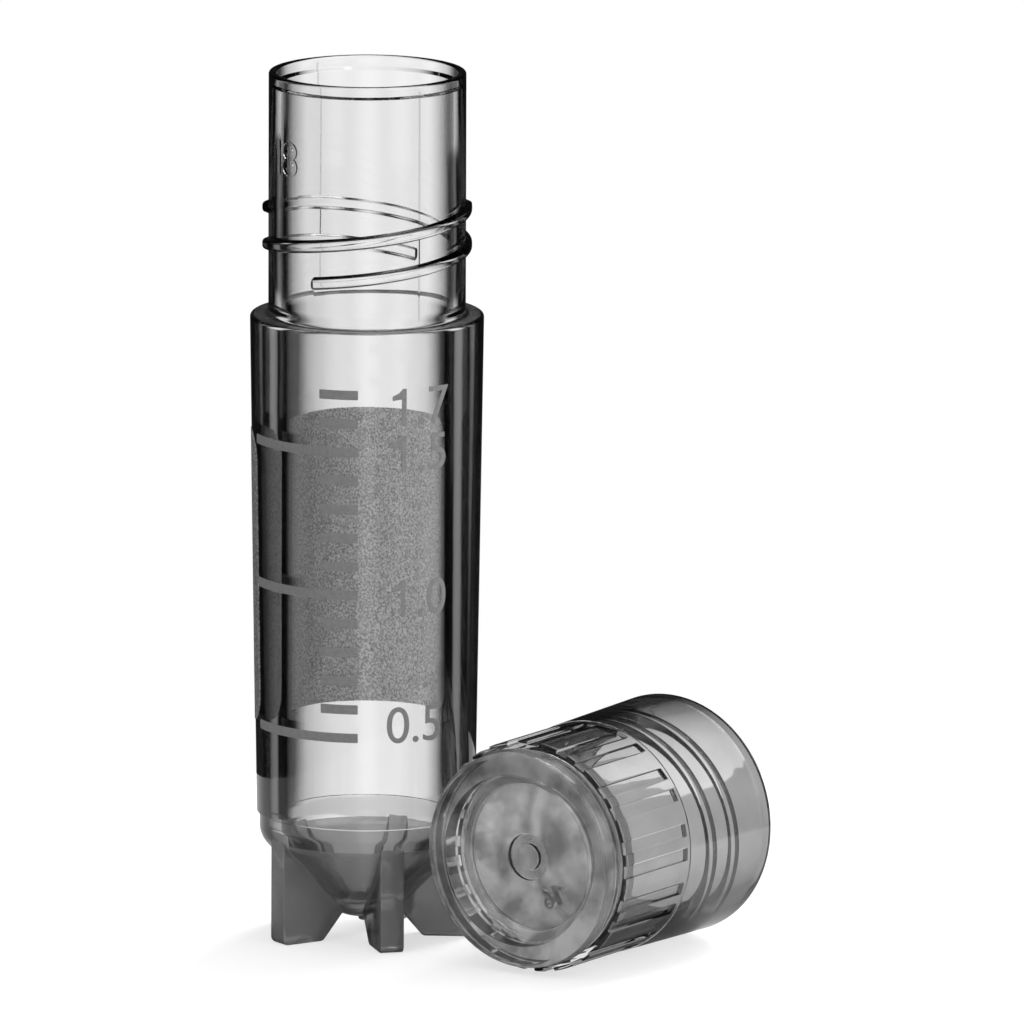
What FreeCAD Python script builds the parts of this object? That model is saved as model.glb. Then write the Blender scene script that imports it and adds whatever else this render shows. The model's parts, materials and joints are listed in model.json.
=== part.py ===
import FreeCAD, Part

import os
import re

import Sketcher
from FreeCAD import Placement, Rotation, Vector

# A self-standing cryovial of clear polypropylene, with a two-start thread outside its neck, and its screw cap
# with a silicone washer, lying beside it. Millimetres. +Z is up. The origin is on the vial's axis, in the plane
# of its feet, and the side that carries the graduation faces -Y. Angles about the vial run from +X towards +Y.
# The cap is drawn on its own axis, from the outside of its closed end at 0 up to its mouth, then laid down.

SIZES = {
    # barrel, neck and well of the vial: radii, and heights above the feet
    "vial_height": 46.9,
    "shoulder_height": 33.8,
    "barrel_bottom": 6.75,
    "barrel_top_radius": 6.25,
    "barrel_bottom_radius": 5.85,
    "shoulder_chamfer": 0.15,
    "neck_radius": 5.27,
    "neck_root_chamfer": 0.15,
    "rim_chamfer": 0.1,
    "mouth_radius": 4.85,
    "mouth_lead": 0.57,
    "bore_radius": 4.66,
    "bore_bottom": 34.3,
    "well_radius": 4.54,
    "well_cone_top": 5.6,
    "well_floor_radius": 1.3,
    "well_floor": 2.3,
    "well_chamfer": 0.6,
    # dome under the barrel, and the gate's pip at its centre
    "dome_radius": 5.7,
    "dome_cone_top": 5.44,
    "dome_bottom_radius": 1.46,
    "dome_bottom": 1.1,
    "dome_fillet": 1.4,
    "dome_bottom_chamfer": 0.5,
    "gate_radius": 0.4,
    "gate_bottom": 0.75,
    # star foot: one upright plate, repeated
    "foot_count": 5,
    "foot_width": 1.3,
    "foot_outer": 5.64,
    "foot_inner": 3.1,
    "foot_corner": 0.3,
    "foot_top": 5.62,
    "foot_top_radius": 5.2,
    "foot_root": 1.85,
    "foot_root_radius": 1.5,
    "foot_turn": 285,
    # thread: a ridge that narrows to its crest, with the same lead on the neck and in the cap
    "thread_lead": 4,
    "thread_starts": 2,
    "thread_root_width": 0.84,
    "thread_crest_width": 0.44,
    "thread_root_depth": 0.45,
    "neck_thread_radius": 5.6,
    "neck_thread_bottom": 36.2,
    "neck_thread_turns": 0.847,
    "neck_thread_turn": 58,
    "cap_thread_radius": 5.37,
    "cap_thread_bottom": 8.27,
    "cap_thread_turns": 1.055,
    "cap_thread_turn": 60,
    # cap: outside
    "cap_length": 14.57,
    "cap_end_radius": 5.8,
    "cap_end_chamfer": 0.2,
    "collar_radius": 5.93,
    "collar_end": 0.85,
    "neckline_radius": 5.78,
    "band_start": 1.3,
    "band_chamfer": 0.15,
    "band_radius": 6.25,
    "band_end": 7.2,
    "skirt_radius": 6.3,
    "cap_mouth_radius": 6.475,
    "lip_chamfer": 0.15,
    # cap: grip, a wide and a narrow flat-topped rib between grooves, repeated
    "rib_groups": 12,
    "groove_width": 0.69,
    "groove_depth": 0.2,
    "groove_end": 6.7,
    "groove_runout": 0.5,
    "wide_rib_turn": 10.4,
    "wide_rib_half": 9,
    # cap: dished end, and the ring round its centre
    "dish_radius": 4.66,
    "dish_floor_radius": 4.05,
    "dish_depth": 1.04,
    "ring_outer": 1.25,
    "ring_inner": 0.72,
    "ring_depth": 0.25,
    # cap: inside
    "cap_bore": 5.7,
    "cap_lead_radius": 5.9,
    "cap_lead": 0.35,
    "seat_depth": 1.9,
    "plug_radius": 4.1,
    "plug_depth": 2.25,
    # silicone washer
    "washer_outer": 5.55,
    "washer_inner": 4.25,
    "washer_back": 1.95,
    "washer_face": 2.7,
    "washer_chamfer": 0.1,
    # where the cap lies: its mouth's centre, heading from +X, rise towards the mouth, and roll
    "cap_mouth_x": 16.46,
    "cap_mouth_y": 0.96,
    "cap_mouth_z": 6.475,
    "cap_heading": 54.8,
    "cap_rise": 0.96,
    # print on the barrel
    "ink": 0.04,
    "panel_bottom": 11.8,
    "panel_top": 27.55,
    "panel_corner": 1.5,
    "panel_turn": 21,
    "panel_sweep": 177,
    "first_mark": 11.57,
    "mark_spacing": 1.554,
    "mark_height": 0.5,
    "mark_count": 13,
    "mark_end": 266,
    "mark_sweep": 19.6,
    "long_mark_sweep": 67,
    "long_mark_every": 5,
}

NODES = ("tube", "cap", "seal_ring", "writing_panel", "graduation_marks")


def make_sheet(doc):
    """Makes the spreadsheet of driving sizes, one aliased cell for each."""
    sheet = doc.addObject("Spreadsheet::Sheet", "Sizes")
    for row, (name, value) in enumerate(SIZES.items(), start=1):
        sheet.set(f"A{row}", name)
        sheet.set(f"B{row}", str(value))
        sheet.setAlias(f"B{row}", name)
    doc.recompute()
    return sheet


def on_sheet(expression):
    """The expression with each size's name pointed at its cell."""
    return re.sub(r"[a-z_]{3,}", r"Sizes.\g<0>", str(expression))


def bind(item, **expressions):
    """Binds properties of an object to expressions in the sheet's names."""
    for name, expression in expressions.items():
        item.setExpression(name, on_sheet(expression))


def worked_out(item, expression):
    """The present value of an expression in the sheet's names."""
    return float(item.evalExpression(on_sheet(expression)))


def origin_item(body, role):
    """A plane or axis of the body's own origin, by its role."""
    return next(item for item in body.Origin.OriginFeatures if item.Role == role)


# Sketches. Each is on a plane through the body's Z axis: across is the radius, up is the height.


def add_sketch(body, name, turn=0):
    """Adds an empty sketch to the body, on its XZ plane turned about Z."""
    sketch = body.newObject("Sketcher::SketchObject", name)
    sketch.AttachmentSupport = [(origin_item(body, "XZ_Plane"), "")]
    sketch.MapMode = "FlatFace"
    sketch.AttachmentOffset = Placement(Vector(), Rotation(Vector(0, 1, 0), worked_out(sketch, turn)))
    if turn:
        sketch.setExpression(".AttachmentOffset.Rotation.Angle", on_sheet(turn))
    return sketch


def pin_point(sketch, edge, point, place):
    """Dimensions one point of a sketch from the sketch's origin, with each distance bound to the sheet."""
    for kind, axis, expression in zip(("DistanceX", "DistanceY"), (-2, -1), place):
        value = worked_out(sketch, expression)
        if value == 0:
            sketch.addConstraint(Sketcher.Constraint("PointOnObject", edge, point, axis))
            continue
        index = sketch.addConstraint(Sketcher.Constraint(kind, -1, 1, edge, point, value))
        sketch.setExpression(f"Constraints[{index}]", on_sheet(expression))


def add_outline(body, name, corners, turn=0, rounded=None):
    """Adds a sketch of a closed outline of straight edges between corners given as (radius, height).

    Where rounded gives a corner and a size, that corner is rounded off.
    """
    sketch = add_sketch(body, name, turn)
    points = [Vector(worked_out(sketch, across), worked_out(sketch, up), 0) for across, up in corners]
    edges = [
        sketch.addGeometry(Part.LineSegment(start, end), False)
        for start, end in zip(points, points[1:] + points[:1])
    ]
    for edge, following, corner in zip(edges, edges[1:] + edges[:1], corners):
        sketch.addConstraint(Sketcher.Constraint("Coincident", edge, 2, following, 1))
        pin_point(sketch, edge, 1, corner)
    if rounded:
        corner, size = rounded
        sketch.fillet(edges[corners.index(corner)], 1, worked_out(sketch, size), True, True)
        arc = next(index for index, item in enumerate(sketch.Geometry) if isinstance(item, Part.ArcOfCircle))
        index = sketch.addConstraint(Sketcher.Constraint("Radius", arc, worked_out(sketch, size)))
        sketch.setExpression(f"Constraints[{index}]", on_sheet(size))
    return sketch


# Features.


def revolve(body, name, sketch, angle=360):
    """Revolves a sketch about the body's Z axis."""
    feature = body.newObject("PartDesign::Revolution", name)
    feature.Profile = sketch
    feature.ReferenceAxis = (origin_item(body, "Z_Axis"), [""])
    bind(feature, Angle=angle)
    return feature


def pattern(body, name, originals, count):
    """Repeats features evenly round the body's Z axis."""
    feature = body.newObject("PartDesign::PolarPattern", name)
    feature.Originals = originals
    feature.Axis = (origin_item(body, "Z_Axis"), [""])
    feature.Angle = 360
    bind(feature, Occurrences=count)
    body.Tip = feature
    return feature


def rings_at(shape, places):
    """The names of the round edges about the Z axis at the given (radius, height) places."""
    names = []
    for radius, height in places:
        for index, edge in enumerate(shape.Edges, start=1):
            if not isinstance(edge.Curve, Part.Circle):
                continue
            centre = edge.Curve.Center
            gap = abs(edge.Curve.Radius - radius) + abs(centre.z - height) + abs(centre.x) + abs(centre.y)
            if gap < 0.001:
                names.append(f"Edge{index}")
    return names


def dress(body, kind, name, base, places, size):
    """Adds a fillet or chamfer to the rings of a feature at the given (radius, height) places."""
    body.Document.recompute()
    rings = rings_at(base.Shape, [[worked_out(base, value) for value in place] for place in places])
    feature = body.newObject(f"PartDesign::{kind}", name)
    feature.Base = (base, rings)
    bind(feature, **{"Radius" if kind == "Fillet" else "Size": size})
    body.Tip = feature
    return feature


def add_thread(body, name, crest_radius, root_radius, bottom, turns, turn):
    """Adds the starts of a right-hand thread: a ridge swept up a helix, with its root sunk in the wall."""
    section = add_outline(body, f"{name}_section", [
        (root_radius, f"{bottom} - thread_root_width / 2"),
        (crest_radius, f"{bottom} - thread_crest_width / 2"),
        (crest_radius, f"{bottom} + thread_crest_width / 2"),
        (root_radius, f"{bottom} + thread_root_width / 2"),
    ], turn)
    helix = body.newObject("PartDesign::AdditiveHelix", name)
    helix.Profile = section
    helix.ReferenceAxis = (origin_item(body, "Z_Axis"), [""])
    helix.Mode = "pitch-turns-angle"
    bind(helix, Pitch="thread_lead", Turns=turns)
    return pattern(body, f"{name}_starts", [helix], "thread_starts")


def new_body(doc, label):
    """An empty body whose label is its node's name."""
    body = doc.addObject("PartDesign::Body", f"{label}_body")
    body.Label = label
    return body


# The pieces.


def make_tube(doc):
    """The vial: barrel, neck, well and star foot in one moulding."""
    body = new_body(doc, "tube")
    outline = add_outline(body, "tube_outline", [
        (0, "gate_bottom"),
        ("gate_radius", "gate_bottom"),
        ("gate_radius", "dome_bottom"),
        ("dome_bottom_radius", "dome_bottom"),
        ("dome_radius", "dome_cone_top"),
        ("dome_radius", "barrel_bottom"),
        ("barrel_bottom_radius", "barrel_bottom"),
        ("barrel_top_radius", "shoulder_height"),
        ("neck_radius", "shoulder_height"),
        ("neck_radius", "vial_height"),
        ("mouth_radius", "vial_height"),
        ("mouth_radius", "vial_height - mouth_lead"),
        ("bore_radius", "vial_height - mouth_lead - (mouth_radius - bore_radius)"),
        ("bore_radius", "bore_bottom"),
        ("well_radius", "shoulder_height"),
        ("well_radius", "well_cone_top"),
        ("well_floor_radius", "well_floor"),
        (0, "well_floor"),
    ], rounded=(("dome_radius", "dome_cone_top"), "dome_fillet"))
    shell = revolve(body, "tube_shell", outline)
    bottom = dress(body, "Chamfer", "dome_bottom_edge", shell, [
        ("dome_bottom_radius", "dome_bottom"),
    ], "dome_bottom_chamfer")
    well = dress(body, "Chamfer", "well_edges", bottom, [
        ("well_radius", "well_cone_top"),
        ("well_floor_radius", "well_floor"),
    ], "well_chamfer")
    rim = dress(body, "Chamfer", "rim_edges", well, [
        ("neck_radius", "vial_height"),
        ("mouth_radius", "vial_height"),
    ], "rim_chamfer")
    root = dress(body, "Chamfer", "neck_root", rim, [("neck_radius", "shoulder_height")], "neck_root_chamfer")
    dress(body, "Chamfer", "shoulder_edge", root, [("barrel_top_radius", "shoulder_height")], "shoulder_chamfer")

    foot_outline = add_outline(body, "foot_outline", [
        ("foot_inner + foot_corner", 0),
        ("foot_outer - foot_corner", 0),
        ("foot_outer", "foot_corner"),
        ("foot_outer", "foot_top"),
        ("foot_top_radius", "foot_top"),
        ("foot_root_radius", "foot_root"),
        ("foot_inner", "foot_corner / 2"),
    ], "foot_turn")
    foot = body.newObject("PartDesign::Pad", "foot")
    foot.Profile = foot_outline
    foot.SideType = "Symmetric"
    bind(foot, Length="foot_width")
    pattern(body, "star_foot", [foot], "foot_count")

    add_thread(
        body,
        "neck_thread",
        "neck_thread_radius",
        "neck_thread_radius - thread_root_depth",
        "neck_thread_bottom",
        "neck_thread_turns",
        "neck_thread_turn",
    )
    return body


def add_groove(body, name, turn):
    """Adds one lengthwise groove of the grip, open at the collar and running out at the skirt."""
    outline = add_outline(body, f"{name}_outline", [
        ("band_radius - groove_depth", "collar_end"),
        ("cap_mouth_radius", "collar_end"),
        ("cap_mouth_radius", "band_end"),
        ("skirt_radius", "groove_end + groove_runout"),
        ("band_radius - groove_depth", "groove_end"),
    ], turn)
    groove = body.newObject("PartDesign::Pocket", name)
    groove.Profile = outline
    groove.SideType = "Symmetric"
    bind(groove, Length="groove_width")
    return groove


def make_cap(doc):
    """The screw cap, in one moulding."""
    body = new_body(doc, "cap")
    outline = add_outline(body, "cap_outline", [
        (0, "dish_depth"),
        ("ring_inner", "dish_depth"),
        ("ring_inner", "dish_depth + ring_depth"),
        ("ring_outer", "dish_depth + ring_depth"),
        ("ring_outer", "dish_depth"),
        ("dish_floor_radius", "dish_depth"),
        ("dish_radius", 0),
        ("cap_end_radius", 0),
        ("collar_radius", "collar_end"),
        ("neckline_radius", "collar_end"),
        ("neckline_radius", "band_start"),
        ("band_radius - band_chamfer", "band_start"),
        ("band_radius", "band_start + band_chamfer"),
        ("band_radius", "band_end"),
        ("skirt_radius", "band_end"),
        ("cap_mouth_radius", "cap_length - lip_chamfer"),
        ("cap_mouth_radius - lip_chamfer", "cap_length"),
        ("cap_lead_radius", "cap_length"),
        ("cap_bore", "cap_length - cap_lead"),
        ("cap_bore", "seat_depth"),
        ("plug_radius", "seat_depth"),
        ("plug_radius", "plug_depth"),
        (0, "plug_depth"),
    ])
    shell = revolve(body, "cap_shell", outline)
    dress(body, "Chamfer", "end_edge", shell, [("cap_end_radius", 0)], "cap_end_chamfer")
    grooves = [
        add_groove(body, "groove_before_wide_rib", "wide_rib_turn - wide_rib_half"),
        add_groove(body, "groove_after_wide_rib", "wide_rib_turn + wide_rib_half"),
    ]
    pattern(body, "grip", grooves, "rib_groups")
    add_thread(
        body,
        "cap_thread",
        "cap_thread_radius",
        "cap_thread_radius + thread_root_depth",
        "cap_thread_bottom",
        "cap_thread_turns",
        "cap_thread_turn",
    )
    return body


def make_seal_ring(doc):
    """The silicone washer that lies round the plug, against the cap's seat."""
    body = new_body(doc, "seal_ring")
    outline = add_outline(body, "washer_outline", [
        ("washer_inner", "washer_back"),
        ("washer_outer", "washer_back"),
        ("washer_outer", "washer_face"),
        ("washer_inner", "washer_face"),
    ])
    ring = revolve(body, "washer", outline)
    dress(body, "Chamfer", "washer_edges", ring, [
        ("washer_inner", "washer_face"),
        ("washer_outer", "washer_face"),
    ], "washer_chamfer")
    return body


def make_panel_block(doc):
    """A half-round block with rounded corners, as tall and as far round as the printed panel."""
    body = new_body(doc, "panel_block")
    outline = add_outline(body, "panel_outline", [
        ("well_radius", "panel_bottom"),
        ("cap_mouth_radius", "panel_bottom"),
        ("cap_mouth_radius", "panel_top"),
        ("well_radius", "panel_top"),
    ], "panel_turn")
    block = revolve(body, "panel_slab", outline, "panel_sweep")
    doc.recompute()
    thickness = SIZES["cap_mouth_radius"] - SIZES["well_radius"]
    corners = [
        f"Edge{index}"
        for index, edge in enumerate(block.Shape.Edges, start=1)
        if abs(edge.Length - thickness) < 0.001
    ]
    rounding = body.newObject("PartDesign::Fillet", "panel_corners")
    rounding.Base = (block, corners)
    bind(rounding, Radius="panel_corner")
    body.Tip = rounding
    return body


def add_cone(doc, name, spare):
    """A cone on the barrel's surface, or standing off it by a spare thickness."""
    cone = doc.addObject("Part::Cone", name)
    cone.Placement.Base = Vector(0, 0, 1)
    bind(
        cone,
        Radius1=f"barrel_bottom_radius + {spare}",
        Radius2=f"barrel_top_radius + {spare}",
        Height="shoulder_height - barrel_bottom",
    )
    cone.setExpression(".Placement.Base.z", on_sheet("barrel_bottom"))
    return cone


def add_mark_sector(doc, index, is_long):
    """A pie slice as thick as one graduation mark, at the mark's height."""
    sweep = "long_mark_sweep" if is_long else "mark_sweep"
    sector = doc.addObject("Part::Cylinder", f"mark_sector_{index}")
    sector.Placement = Placement(Vector(), Rotation(Vector(0, 0, 1), 1))
    bind(sector, Radius="cap_mouth_radius", Height="mark_height", Angle=sweep)
    sector.setExpression(".Placement.Base.z", on_sheet(f"first_mark + {index} * mark_spacing"))
    sector.setExpression(".Placement.Rotation.Angle", on_sheet(f"mark_end - {sweep}"))
    return sector


def make_ink_shell(doc):
    """A shell of ink all over the barrel, which the print is sliced from."""
    shell = doc.addObject("Part::Cut", "ink_shell")
    shell.Base = add_cone(doc, "ink_outside", "ink")
    shell.Tool = add_cone(doc, "ink_inside", "0")
    return shell


def make_print(doc, label, shell, region):
    """One printed node: what a region holds of the ink shell."""
    slice_of_ink = doc.addObject("Part::Common", f"{label}_common")
    slice_of_ink.Base = shell
    slice_of_ink.Tool = region
    slice_of_ink.Label = label
    return slice_of_ink


def make_mark_sectors(doc, sheet):
    """The slices of the graduation, a longer one at each whole and half millilitre."""
    sectors = doc.addObject("Part::MultiFuse", "mark_sectors")
    sectors.Shapes = [
        add_mark_sector(doc, index, index % int(sheet.long_mark_every) == 0)
        for index in range(int(sheet.mark_count))
    ]
    return sectors


def lie_down(sheet):
    """The placement of the cap and its washer, from the cap's own axis to where they lie."""
    turn = Rotation(Vector(0, 0, 1), sheet.cap_heading)
    rise = Rotation(Vector(0, 1, 0), -sheet.cap_rise)
    # the cap's axis swings from +Z down to +X, with its angles counted from the side away from the viewer
    tip_over = Rotation(Vector(0, 1, 0), Vector(0, 0, 1), Vector(1, 0, 0), "ZXY")
    rotation = turn.multiply(rise).multiply(tip_over)
    mouth = Vector(sheet.cap_mouth_x, sheet.cap_mouth_y, sheet.cap_mouth_z)
    return Placement(mouth - rotation.multVec(Vector(0, 0, sheet.cap_length)), rotation)


def check_document(doc):
    """Stops if any object of the document failed, or a piece's shape is missing or not valid."""
    for item in doc.Objects:
        if {"Invalid", "Error"} & set(item.State):
            raise RuntimeError(f"{item.Name} failed: {item.State}")
    for label in NODES:
        shape = doc.getObjectsByLabel(label)[0].Shape
        if shape.isNull() or not shape.isValid():
            raise RuntimeError(f"{label} has no valid shape")


def main():
    doc = FreeCAD.newDocument("cryovial")
    sheet = make_sheet(doc)
    make_tube(doc)
    shell = make_ink_shell(doc)
    make_print(doc, "writing_panel", shell, make_panel_block(doc))
    make_print(doc, "graduation_marks", shell, make_mark_sectors(doc, sheet))
    lying = lie_down(sheet)
    for body in (make_cap(doc), make_seal_ring(doc)):
        body.Placement = lying
    doc.recompute()
    check_document(doc)
    os.makedirs("parts", exist_ok=True)
    for label in NODES:
        shape = doc.getObjectsByLabel(label)[0].Shape
        shape.exportStep(f"parts/{label}.step")
        print(f"{label}: {len(shape.Solids)} solids, {len(shape.Faces)} faces, {shape.Volume:.2f} mm3")


main()
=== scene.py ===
"""The cryovial's looks: clear mouldings, washer, print and a plain studio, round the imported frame."""

import json
import logging
import math
from collections.abc import Callable, Mapping, Sequence
from dataclasses import dataclass
from enum import Enum, IntEnum

import bmesh
import bpy
from mathutils import Matrix, Vector


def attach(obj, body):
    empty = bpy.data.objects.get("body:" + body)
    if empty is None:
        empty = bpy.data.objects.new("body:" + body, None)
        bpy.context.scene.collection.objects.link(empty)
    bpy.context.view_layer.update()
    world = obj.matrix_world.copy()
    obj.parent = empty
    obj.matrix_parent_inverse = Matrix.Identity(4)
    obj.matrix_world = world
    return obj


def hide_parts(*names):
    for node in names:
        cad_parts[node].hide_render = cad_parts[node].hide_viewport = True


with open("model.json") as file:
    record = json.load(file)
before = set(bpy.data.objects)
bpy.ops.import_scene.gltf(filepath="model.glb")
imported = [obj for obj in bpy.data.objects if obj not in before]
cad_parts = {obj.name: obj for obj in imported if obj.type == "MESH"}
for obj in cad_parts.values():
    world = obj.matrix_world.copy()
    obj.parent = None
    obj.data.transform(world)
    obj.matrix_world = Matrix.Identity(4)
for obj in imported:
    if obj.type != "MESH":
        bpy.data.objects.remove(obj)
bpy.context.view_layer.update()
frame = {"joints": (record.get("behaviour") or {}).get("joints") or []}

log = logging.getLogger("cryovial")

Mesh = bmesh.types.BMesh
Piece = bpy.types.Object
Material = bpy.types.Material
Node = bpy.types.Node
Socket = bpy.types.NodeSocket
Finishes = dict[str, Material]
Inputs = Mapping[str | int, object]
Stops = Sequence[tuple[float, float]]

MM = 0.001
FULL_TURN = 2 * math.pi
ROUND_STEPS = 288
ARC_STEPS = 8
CREASE = math.radians(35.0)
UP = Vector((0.0, 0.0, 1.0))
ORIGIN = (0.0, 0.0, 0.0)

# Points that lie closer than this, in metres, are one.
TOUCHING = 1e-7

# A face whose middle lies closer than this to a surface, in mm, counts as on it.
HAIR = 0.02


# Outlines and meshes


@dataclass(frozen=True)
class Corner:
    """A corner of an outline: its radius from the axis, its height, and its rounding, in mm."""

    across: float
    up: float
    rounding: float = 0.0

    def point(self) -> Vector:
        """The corner as a flat point, in mm."""
        return Vector((self.across, self.up))


def rounded_outline(corners: list[Corner], arc_steps: int = ARC_STEPS) -> list[Vector]:
    """Turns the corners of a closed outline into points, with an arc at each rounded corner.

    Args:
        corners: The outline's corners in order.
        arc_steps: How many straight steps an arc has.

    Returns:
        The outline's points in the XZ plane, in metres.
    """
    points = []
    for index, corner in enumerate(corners):
        here = corner.point()
        if corner.rounding <= 0:
            points.append(here)
            continue
        back = (corners[index - 1].point() - here).normalized()
        ahead = (corners[(index + 1) % len(corners)].point() - here).normalized()
        half_angle = back.angle(ahead) / 2
        centre = here + (back + ahead).normalized() * (corner.rounding / math.sin(half_angle))
        tangent = corner.rounding / math.tan(half_angle)
        start = here + back * tangent - centre
        sweep = start.angle_signed(here + ahead * tangent - centre)
        for step in range(arc_steps + 1):
            points.append(centre + Matrix.Rotation(-sweep * step / arc_steps, 2) @ start)
    return [Vector((point.x * MM, 0.0, point.y * MM)) for point in points]


def turned(outline: list[Corner], steps: int = ROUND_STEPS, arc_steps: int = ARC_STEPS) -> Mesh:
    """Spins a closed outline once round the Z axis.

    Args:
        outline: The outline's corners. It may touch the axis.
        steps: How many flats the full turn has.
        arc_steps: How many straight steps an arc has.

    Returns:
        The closed solid, with its faces outwards.
    """
    mesh = bmesh.new()
    verts = [mesh.verts.new(point) for point in rounded_outline(outline, arc_steps)]
    edges = [mesh.edges.new(ends) for ends in zip(verts, verts[1:] + verts[:1])]
    bmesh.ops.spin(
        mesh, geom=verts + edges, axis=UP, cent=ORIGIN, angle=FULL_TURN, steps=steps, use_merge=True
    )
    bmesh.ops.remove_doubles(mesh, verts=mesh.verts, dist=TOUCHING)
    bare = [edge for edge in mesh.edges if not edge.link_faces]
    on_axis = [edge for edge in bare if all(vert.co.xy.length < TOUCHING for vert in edge.verts)]
    bmesh.ops.delete(mesh, geom=on_axis, context="EDGES")
    bmesh.ops.recalc_face_normals(mesh, faces=mesh.faces)
    return mesh


def thickened(flat: Mesh, depth: float = 1.0) -> Mesh:
    """Gives a flat sheet in the XZ plane its second side.

    Args:
        flat: The sheet.
        depth: How far along Y the second side lies.

    Returns:
        The same sheet, as a slab.
    """
    grown = bmesh.ops.extrude_face_region(flat, geom=list(flat.faces), use_keep_orig=True)
    top = [item for item in grown["geom"] if isinstance(item, bmesh.types.BMVert)]
    bmesh.ops.translate(flat, verts=top, vec=(0, depth, 0))
    return flat


def plate(outline: list[Corner], width: float) -> Mesh:
    """Makes a plate of an outline, centred on the XZ plane.

    Args:
        outline: The outline's corners.
        width: The plate's thickness along Y, in metres.

    Returns:
        The closed plate.
    """
    mesh = bmesh.new()
    side = Vector((0, width / 2, 0))
    mesh.faces.new([mesh.verts.new(point - side) for point in rounded_outline(outline)])
    thickened(mesh, width)
    bmesh.ops.recalc_face_normals(mesh, faces=mesh.faces)
    return mesh


def everything_in(mesh: Mesh) -> list[object]:
    """A mesh's vertices, edges and faces."""
    return [*mesh.verts, *mesh.edges, *mesh.faces]


def joined(parts: list[Mesh]) -> Mesh:
    """Puts several meshes into one, and frees them.

    Args:
        parts: The meshes to join.

    Returns:
        One mesh that holds them all.
    """
    whole = bmesh.new()
    for part in parts:
        holder = bpy.data.meshes.new("holder")
        part.to_mesh(holder)
        part.free()
        whole.from_mesh(holder)
        bpy.data.meshes.remove(holder)
    return whole


def round_the_axis(part: Mesh, turns: Sequence[float]) -> Mesh:
    """Copies a mesh to several places round the Z axis, and frees it.

    Args:
        part: The mesh to copy.
        turns: How far each copy is turned, in degrees.

    Returns:
        One mesh that holds the copies.
    """
    copies = []
    for degrees in turns:
        copy = part.copy()
        turn = Matrix.Rotation(math.radians(degrees), 3, "Z")
        bmesh.ops.rotate(copy, verts=copy.verts, cent=ORIGIN, matrix=turn)
        copies.append(copy)
    part.free()
    return joined(copies)


def evenly(count: int, first: float = 0.0) -> list[float]:
    """The angles, in degrees, of things set evenly round the axis."""
    return [first + 360.0 * index / count for index in range(count)]


@dataclass(frozen=True)
class Thread:
    """A right-hand thread of even ridges, narrower at their crests. Lengths in mm, angles in degrees."""

    root_radius: float
    crest_radius: float
    crest_round: float
    turns: float
    bottom: float
    turn: float
    root_width: float = 0.84
    crest_width: float = 0.44
    lead: float = 4.0
    starts: int = 2
    steps_a_turn: int = 120
    crest_steps: int = 5

    def build(self) -> Mesh:
        """Sweeps a ridge's section up the helix, and repeats the ridge at each start.

        Returns:
            The closed ridges.
        """
        mesh = bmesh.new()
        points = rounded_outline([
            Corner(self.root_radius, -self.root_width / 2),
            Corner(self.crest_radius, -self.crest_width / 2, self.crest_round),
            Corner(self.crest_radius, self.crest_width / 2, self.crest_round),
            Corner(self.root_radius, self.root_width / 2),
        ], self.crest_steps)
        mesh.faces.new([mesh.verts.new(point) for point in points])
        place = Matrix.Rotation(math.radians(self.turn), 4, "Z") @ Matrix.Translation(UP * self.bottom * MM)
        bmesh.ops.transform(mesh, matrix=place, verts=mesh.verts)
        steps = round(self.turns * self.steps_a_turn)
        bmesh.ops.spin(
            mesh,
            geom=everything_in(mesh),
            axis=UP,
            cent=ORIGIN,
            dvec=UP * (self.lead * self.turns * MM / steps),
            angle=FULL_TURN * self.turns,
            steps=steps,
        )
        bmesh.ops.remove_doubles(mesh, verts=mesh.verts, dist=TOUCHING / 10)
        bmesh.ops.recalc_face_normals(mesh, faces=mesh.faces)
        return round_the_axis(mesh, evenly(self.starts))


def loose_object(part: Mesh, name: str) -> Piece:
    """Makes an object of a mesh, and frees the mesh.

    Args:
        part: The mesh.
        name: The object's name.

    Returns:
        The new object, linked to the scene, at the origin.
    """
    data = bpy.data.meshes.new(name)
    part.to_mesh(data)
    part.free()
    item = bpy.data.objects.new(name, data)
    bpy.context.scene.collection.objects.link(item)
    return item


class Merge(Enum):
    """How one solid is worked into another."""

    UNITE = "UNION"
    CUT = "DIFFERENCE"


def worked(base: Mesh, tool: Mesh, how: Merge) -> Mesh:
    """Unites a solid with another, or cuts the other out of it.

    Args:
        base: The solid worked on.
        tool: The solid that is added or taken away.
        how: Which of the two.

    Returns:
        The resulting solid.
    """
    base_object = loose_object(base, "merge_base")
    tool_object = loose_object(tool, "merge_tool")
    boolean = base_object.modifiers.new("merge", "BOOLEAN")
    boolean.operation = how.value
    boolean.solver = "EXACT"
    boolean.object = tool_object
    shown = base_object.evaluated_get(bpy.context.evaluated_depsgraph_get())
    result = bmesh.new()
    result.from_mesh(shown.to_mesh())
    shown.to_mesh_clear()
    for item in (base_object, tool_object):
        data = item.data
        bpy.data.objects.remove(item)
        bpy.data.meshes.remove(data)
    bmesh.ops.remove_doubles(result, verts=result.verts, dist=2 * TOUCHING)
    return result


def finished_piece(part: Mesh, name: str, body: str, materials: Sequence[Material]) -> Piece:
    """Makes a piece of a mesh: smooth, creased at its edges, dressed, and riding on its body.

    Args:
        part: The mesh, where it lies, in metres.
        name: The piece's name.
        body: The body that it rides on.
        materials: Its finishes, in the order that its faces count them.

    Returns:
        The piece.
    """
    piece = loose_object(part, name)
    piece.data.shade_smooth()
    piece.data.set_sharp_from_angle(angle=CREASE)
    for material in materials:
        piece.data.materials.append(material)
    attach(piece, body)
    log.info("%s: %d faces", name, len(piece.data.polygons))
    return piece


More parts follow.
